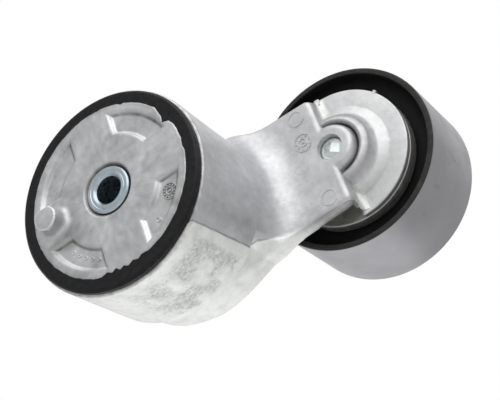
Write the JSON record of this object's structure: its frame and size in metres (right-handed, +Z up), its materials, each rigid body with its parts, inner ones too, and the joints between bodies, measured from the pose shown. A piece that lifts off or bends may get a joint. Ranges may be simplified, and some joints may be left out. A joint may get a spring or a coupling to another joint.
{
  "type": "belt tensioner idler",
  "caption": "Spring-loaded accessory belt tensioner: round spring housing with mount face and pin, arm, and smooth idler pulley on a ball bearing.",
  "frame": {"origin": "centre of the mount face on the pivot axis", "axes": "+Y along the pivot axis from the mount face into the part, +X from the pivot axis to the pulley axis at rest, +Z up"},
  "size_m": [0.1506, 0.115, 0.0832],
  "materials": {
    "cast_aluminium": "as-cast, fine matte grain",
    "zinc_steel": "zinc-plated",
    "black_polymer": "moulded, slight sheen",
    "pale_polymer": "moulded",
    "pulley_steel": "dark coated inside, satin running surface",
    "bearing_steel": "ground and polished",
    "spring_steel": "shot-peened, oiled",
    "seal_rubber": "moulded"
  },
  "bodies": {
    "base": {"base_plate": "cast_aluminium", "pivot_sleeve": "zinc_steel", "friction_ring": "black_polymer", "thrust_washer": "pale_polymer", "retaining_plate": "zinc_steel"},
    "arm": {"arm_housing": "cast_aluminium", "pivot_bushing": "pale_polymer", "spring_seat": "black_polymer", "torsion_spring": "spring_steel", "dust_shield": "zinc_steel", "bearing_bush": "zinc_steel", "inner_ring": "bearing_steel", "far_dust_washer": "zinc_steel", "pulley_bolt": "zinc_steel"},
    "pulley": {"pulley_rim": "pulley_steel", "pulley_web": "pulley_steel", "outer_ring": "bearing_steel", "seal_near": "seal_rubber", "seal_far": "seal_rubber"},
    "ball_set": {"cage_near": "pale_polymer", "cage_far": "pale_polymer", "ball_near_1": "bearing_steel", "ball_near_2": "bearing_steel", "ball_near_3": "bearing_steel", "ball_near_4": "bearing_steel", "ball_near_5": "bearing_steel", "ball_near_6": "bearing_steel", "ball_near_7": "bearing_steel", "ball_near_8": "bearing_steel", "ball_far_1": "bearing_steel", "ball_far_2": "bearing_steel", "ball_far_3": "bearing_steel", "ball_far_4": "bearing_steel", "ball_far_5": "bearing_steel", "ball_far_6": "bearing_steel", "ball_far_7": "bearing_steel", "ball_far_8": "bearing_steel"}
  },
  "joints": [
    {"name": "arm_pivot", "type": "hinge", "parent": "base", "child": "arm", "pos_m": [0, 0, 0], "axis": [0, 1, 0], "range_deg": [0, 50], "stiffness_Nm_per_rad": 28, "springref_deg": -2.29, "deforming": ["torsion_spring"]},
    {"name": "pulley_spin", "type": "hinge", "parent": "arm", "child": "pulley", "pos_m": [0.0695, 0, 0], "axis": [0, 1, 0], "continuous": true},
    {"name": "cage_orbit", "type": "hinge", "parent": "arm", "child": "ball_set", "pos_m": [0.0695, 0, 0], "axis": [0, 1, 0], "continuous": true}
  ],
  "couplings": [
    {"joint": "cage_orbit", "follows": "pulley_spin", "ratio": 0.6241}
  ]
}
